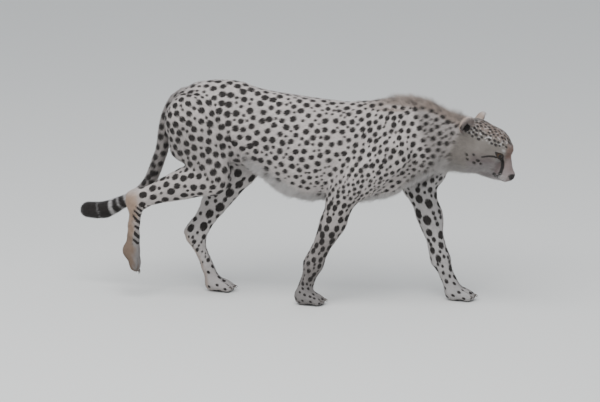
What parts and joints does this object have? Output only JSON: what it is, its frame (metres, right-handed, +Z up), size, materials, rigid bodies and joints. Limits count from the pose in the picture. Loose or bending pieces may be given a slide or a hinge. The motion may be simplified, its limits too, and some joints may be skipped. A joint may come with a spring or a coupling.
{
  "type": "cheetah figure",
  "caption": "Life-size still model of a slender spotted cat walking with one hind foot lifted, head turned a little to one side; stands on a floor as a display piece.",
  "frame": {"origin": "middle of the bounding box in plan, on the floor the feet stand on", "axes": "+X towards the head, +Y towards the animal's left, +Z up"},
  "size_m": [1.3786, 0.2514, 0.6853],
  "materials": {
    "coat": "short matt fur, buff with dark round spots",
    "pale_coat": "short matt pale fur",
    "dark_coat": "bushy blackish fur",
    "eye": "wet gloss, amber iris"
  },
  "bodies": {
    "root": {"trunk": "coat", "neck": "coat", "head": "coat", "ear_right": "coat", "ear_left": "coat", "tail_root": "coat", "tail_middle": "coat", "foreleg_right_arm": "coat", "foreleg_right_forearm": "coat", "foreleg_left_arm": "coat", "foreleg_left_forearm": "coat", "hindleg_right_thigh": "coat", "hindleg_right_shank": "coat", "hindleg_left_thigh": "coat", "hindleg_left_shank": "coat", "foreleg_right_paw": "pale_coat", "foreleg_left_paw": "pale_coat", "hindleg_right_paw": "pale_coat", "hindleg_left_paw": "pale_coat", "tail_tip": "dark_coat", "eye_right": "eye", "eye_left": "eye"}
  },
  "joints": []
}
